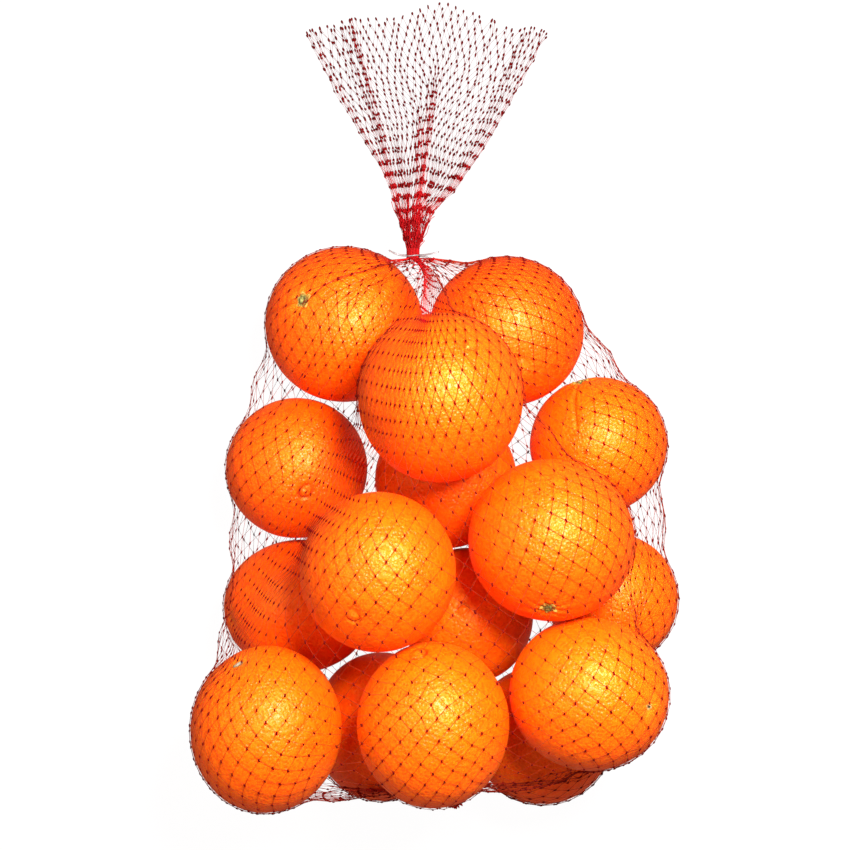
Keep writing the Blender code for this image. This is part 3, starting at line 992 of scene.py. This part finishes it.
# ==================================================================== build
knot_red = net_plastic("net_knots", (0.085, 0.0016, 0.0016), (0.145, 0.0030, 0.0025), (0.34, 0.004, 0.007), 0.50, 0.12)
strand_red = net_plastic("net_strands", (0.20, 0.015, 0.005), (0.29, 0.026, 0.008), (0.47, 0.006, 0.009), 0.46, 0.14)
tail_knot_red = net_plastic("tail_knots", (0.055, 0.0012, 0.0016), (0.105, 0.0022, 0.0028), (0.25, 0.003, 0.005), 0.52, 0.12)
tail_red = net_plastic("tail_strands", (0.12, 0.003, 0.003), (0.22, 0.004, 0.005), (0.40, 0.005, 0.008), 0.50, 0.12)
peel = peel_material()
marks = {
    "calyx": dried_material("dry_calyx", [(0.0, (0.42, 0.36, 0.11)), (0.20, (0.30, 0.28, 0.08)), (0.30, (0.07, 0.055, 0.015)),
                                          (0.42, (0.20, 0.16, 0.035)), (0.62, (0.42, 0.24, 0.035)), (1.0, (0.60, 0.33, 0.055))],
                            (0.13, 0.13, 0.03, 1.0), 0.78),
    "scar": dried_material("stalk_scar", [(0.0, (0.50, 0.47, 0.36)), (0.55, (0.44, 0.40, 0.28)), (0.74, (0.10, 0.11, 0.05)), (1.0, (0.40, 0.14, 0.02))],
                           (0.36, 0.32, 0.20, 1.0), 0.80),
    "dot": dried_material("dry_dot", [(0.0, (0.02, 0.03, 0.02)), (0.26, (0.05, 0.05, 0.02)), (0.38, (0.42, 0.30, 0.12)), (0.72, (0.70, 0.25, 0.04)), (1.0, (0.86, 0.11, 0.003))],
                          (0.55, 0.30, 0.08, 1.0), 0.70),
    "spot": dried_material("dry_spot", [(0.0, (0.32, 0.15, 0.02)), (0.40, (0.56, 0.20, 0.02)), (1.0, (0.86, 0.10, 0.003))],
                           (0.50, 0.20, 0.03, 1.0), 0.72),
}

pieces = []
spheres = {n: cube_sphere(n) for n in sorted({row[5] for row in FRUIT})}
for k in range(len(PILE)):
    obj, at, face, skin = make_orange(k, spheres[FRUIT[k][5]], peel)
    pieces.append(obj)
    pieces.append(make_stem_mark(k, FRUIT[k][1], at, face, marks, skin))

grid = settle_net(COLUMNS, ROWS, (-0.55, -0.65, 0.25, 0.5, 0.6), -8.0, 1100)
tail = tail_grid(COLUMNS, ROWS)
neck_end = grid[ROWS] + np.array([0.0, 2 * NECK_HALF, 0.0])
tail[0] = neck_end
frill = frill_grid(COLUMNS, grid[0])
every = np.concatenate([grid.reshape(-1, 3), tail[1:].reshape(-1, 3), frill[1:].reshape(-1, 3)])
KNOT = (0.98, 0.50, 0.42)
TAIL_KNOT = (1.22, 0.62, 0.44)

along, across, out = knot_frames(grid)
tight = packed(grid.reshape(-1, 3), every).reshape(grid.shape[:2])
a, b, o, ends = strand_ends(grid, out, tight)
pieces.append(strand_mesh("net_bag_strands", a, b, o, 0.125, 0.086, strand_red, tight=ends))
inner = slice(1, ROWS)
pieces.append(knot_mesh("net_bag_knots", grid[inner].reshape(-1, 3), along[inner].reshape(-1, 3), across[inner].reshape(-1, 3),
                        out[inner].reshape(-1, 3), *KNOT, knot_red, tight=tight[inner].ravel()))

t_along, t_across, t_out = knot_frames(tail)
tight = packed(tail.reshape(-1, 3), every).reshape(tail.shape[:2])
ta, tb, to, ends = strand_ends(tail, t_out, tight)
pieces.append(strand_mesh("net_tail_strands", ta, tb, to, 0.095, 0.050, tail_red, press=False, jitter=0.15, tight=ends))
pieces.append(knot_mesh("net_tail_knots", tail[1:].reshape(-1, 3), t_along[1:].reshape(-1, 3), t_across[1:].reshape(-1, 3),
                        t_out[1:].reshape(-1, 3), *TAIL_KNOT, tail_knot_red, seed=8, tight=tight[1:].ravel()))
# the gathered start of the tail: extra turns of strand lying through it
rng = np.random.default_rng(31)
rope_a, rope_b = [], []
for r in range(0, 4):
    some = rng.random(COLUMNS) < (1.0, 1.0, 0.8, 0.45)[r]
    rope_a.append((tail[r] + rng.normal(0, 0.30 + 0.12 * r, (COLUMNS, 3)))[some])
    rope_b.append((np.roll(tail[r + 1], rng.integers(-1, 2), axis=0) + rng.normal(0, 0.5 + 0.12 * r, (COLUMNS, 3)))[some])
rope_a, rope_b = np.concatenate(rope_a), np.concatenate(rope_b)
pieces.append(strand_mesh("net_tail_rope", rope_a, rope_b, np.array([0.0, 0.0, 1.0]) + 0 * rope_a, 0.19, 0.15, tail_red, press=False, jitter=0.25, seed=6,
                          tight=(rng.random(len(rope_a)), rng.random(len(rope_a)))))

# inside each tied neck the strands run side by side, packed to the middle
f_along, f_across, f_out = knot_frames(frill)
fa, fb, fo, _ = strand_ends(frill, f_out, np.ones(frill.shape[:2]))
for label, start, end, middle in (("upper", grid[ROWS], neck_end, NECK), ("lower", grid[0], frill[0], BASE)):
    starts, ends = [], []
    for shrink in (1.0, 0.72, 0.42):
        scale = np.array([shrink, 1.0, shrink])
        starts.append(middle + (start - middle) * scale)
        ends.append(middle + (end - middle) * scale)
    starts, ends = np.concatenate(starts), np.concatenate(ends)
    mixed = rng.random(len(starts)) * 0.8
    pieces.append(strand_mesh(f"net_neck_{label}", starts, ends, (starts + ends) / 2 - middle, 0.26, 0.24, tail_red, press=False, jitter=0.10,
                              tight=(mixed, mixed)))
pieces.append(strand_mesh("net_frill_strands", fa, fb, fo, 0.145, 0.085, strand_red, press=False, jitter=0.10))
pieces.append(knot_mesh("net_frill_knots", frill[1:].reshape(-1, 3), f_along[1:].reshape(-1, 3), f_across[1:].reshape(-1, 3),
                        f_out[1:].reshape(-1, 3), *KNOT, knot_red, seed=9))
for piece in pieces:
    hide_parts("net")

# ties: thin milky plastic
tie_nodes = plain_procedural("milky_plastic", (0.20, 0.165, 0.165), (0.30, 0.26, 0.26), 500.0, 0.32, 0.03, rough_var=0.2)
tie_nodes.shader.inputs["Transmission Weight"].default_value = 0.25
tie_mat = tie_nodes.mat
path, facing = ring_path(NECK, 3.70, -1.3, 1.0)
band("tie_band", path, 0.6, 0.28, facing, tie_mat, "tie", closed=True)
band("tie_arm_left", curve_path([(-9.4, 86.8, 57.2), (-12.0, 86.7, 59.0), (-15.2, 87.5, 59.8), (-18.4, 89.2, 59.4)]),
     np.linspace(1.3, 0.7, 14), 0.30, (0.1, 0.0, 1.0), tie_mat, "tie")
band("tie_arm_right", curve_path([(-3.0, 86.8, 57.2), (0.2, 86.9, 59.2), (3.6, 87.5, 60.0), (7.2, 88.4, 59.6)]),
     np.linspace(1.3, 0.6, 14), 0.30, (-0.1, 0.1, 1.0), tie_mat, "tie")
band("tie_arm_right_low", curve_path([(-2.6, 86.4, 57.6), (0.4, 85.8, 59.4), (4.2, 85.4, 59.2)]),
     np.linspace(0.9, 0.5, 14), 0.28, (-0.1, -0.1, 1.0), tie_mat, "tie")
path, facing = ring_path(BASE, 3.55, 0.0, 1.0)
band("tie_base_band", path, 1.2, 0.32, facing, tie_mat, "tie_base", closed=True)
for label, way in (("left", -1.0), ("right", 1.0)):
    band(f"tie_base_arm_{label}", curve_path([BASE + np.array([way * x, y, z]) for x, y, z in ((3.3, 0.0, 0.4), (5.2, -0.5, 1.2), (7.0, -1.2, 1.4), (8.6, -2.4, 0.8))]),
         np.linspace(1.3, 0.7, 14), 0.30, (0.0, 0.1, 1.0), tie_mat, "tie_base")

# -------------------------------------------------------------------- stage
bpy.ops.mesh.primitive_plane_add(size=6.0, location=(0, 0, -0.0004))
floor = bpy.context.object
floor.name = "floor"
fm = Nodes("pale_floor")
fm.shader.inputs["Base Color"].default_value = (0.04, 0.04, 0.04, 1.0)
fm.shader.inputs["Roughness"].default_value = 0.9
fm.shader.inputs["Specular IOR Level"].default_value = 0.0
fm.shader.inputs["Emission Color"].default_value = (1.0, 1.0, 1.0, 1.0)
fm.shader.inputs["Emission Strength"].default_value = 0.975
floor.data.materials.append(fm.mat)
floor.visible_diffuse = False
floor.visible_glossy = False

# a white backdrop all round, seen only by the camera
bpy.ops.mesh.primitive_uv_sphere_add(segments=48, ring_count=24, radius=3.0, location=(0, 0, 0))
dome = bpy.context.object
dome.name = "backdrop"
dm = Nodes("white_backdrop")
dm.shader.inputs["Base Color"].default_value = (0.0, 0.0, 0.0, 1.0)
dm.shader.inputs["Specular IOR Level"].default_value = 0.0
dm.shader.inputs["Emission Color"].default_value = (1.0, 1.0, 1.0, 1.0)
dm.shader.inputs["Emission Strength"].default_value = 0.97
dome.data.materials.append(dm.mat)
for seen in ("visible_diffuse", "visible_glossy", "visible_shadow", "visible_transmission", "visible_volume_scatter"):
    setattr(dome, seen, False)


def area_light(name, at, aim, size, power, colour=(1, 1, 1)):
    light = bpy.data.lights.new(name, "AREA")
    light.shape = "DISK"
    light.size = size
    light.energy = power
    light.color = colour
    obj = bpy.data.objects.new(name, light)
    obj.location = Vector(at)
    obj.rotation_euler = (Vector(aim) - Vector(at)).to_track_quat("-Z", "Y").to_euler()
    bpy.context.scene.collection.objects.link(obj)
    return obj


area_light("key", (0.15, 0.16, 0.62), (0.0, -0.05, 0.06), 0.22, 10.8)
area_light("fill", (-0.45, 0.10, 0.70), (0.0, -0.03, 0.05), 0.8, 2.0)

scene_world = bpy.data.worlds.new("studio")
bpy.context.scene.world = scene_world
scene_world.use_nodes = True
scene_world.node_tree.nodes["Background"].inputs[0].default_value = (1.0, 0.50, 0.40, 1.0)
scene_world.node_tree.nodes["Background"].inputs[1].default_value = 0.42

camera = bpy.data.cameras.new("camera")
camera.sensor_width = 36.0
camera.lens = 1490.196 / 850.0 * 36.0
camera.clip_start = 0.01
cam = bpy.data.objects.new("camera", camera)
cam.location = Vector(world((0.0, 0.0, 820.0)))
cam.rotation_euler = (0.0, 0.0, 0.0)
bpy.context.scene.collection.objects.link(cam)
bpy.context.scene.camera = cam
bpy.context.scene.view_settings.view_transform = "Standard"

total = 0
for obj in bpy.data.objects:
    if obj.type == "MESH" and not obj.hide_render:
        obj.data.calc_loop_triangles()
        count = len(obj.data.loop_triangles)
        total += count
        if count > 60000:
            print(obj.name, count)
print("triangles", total)
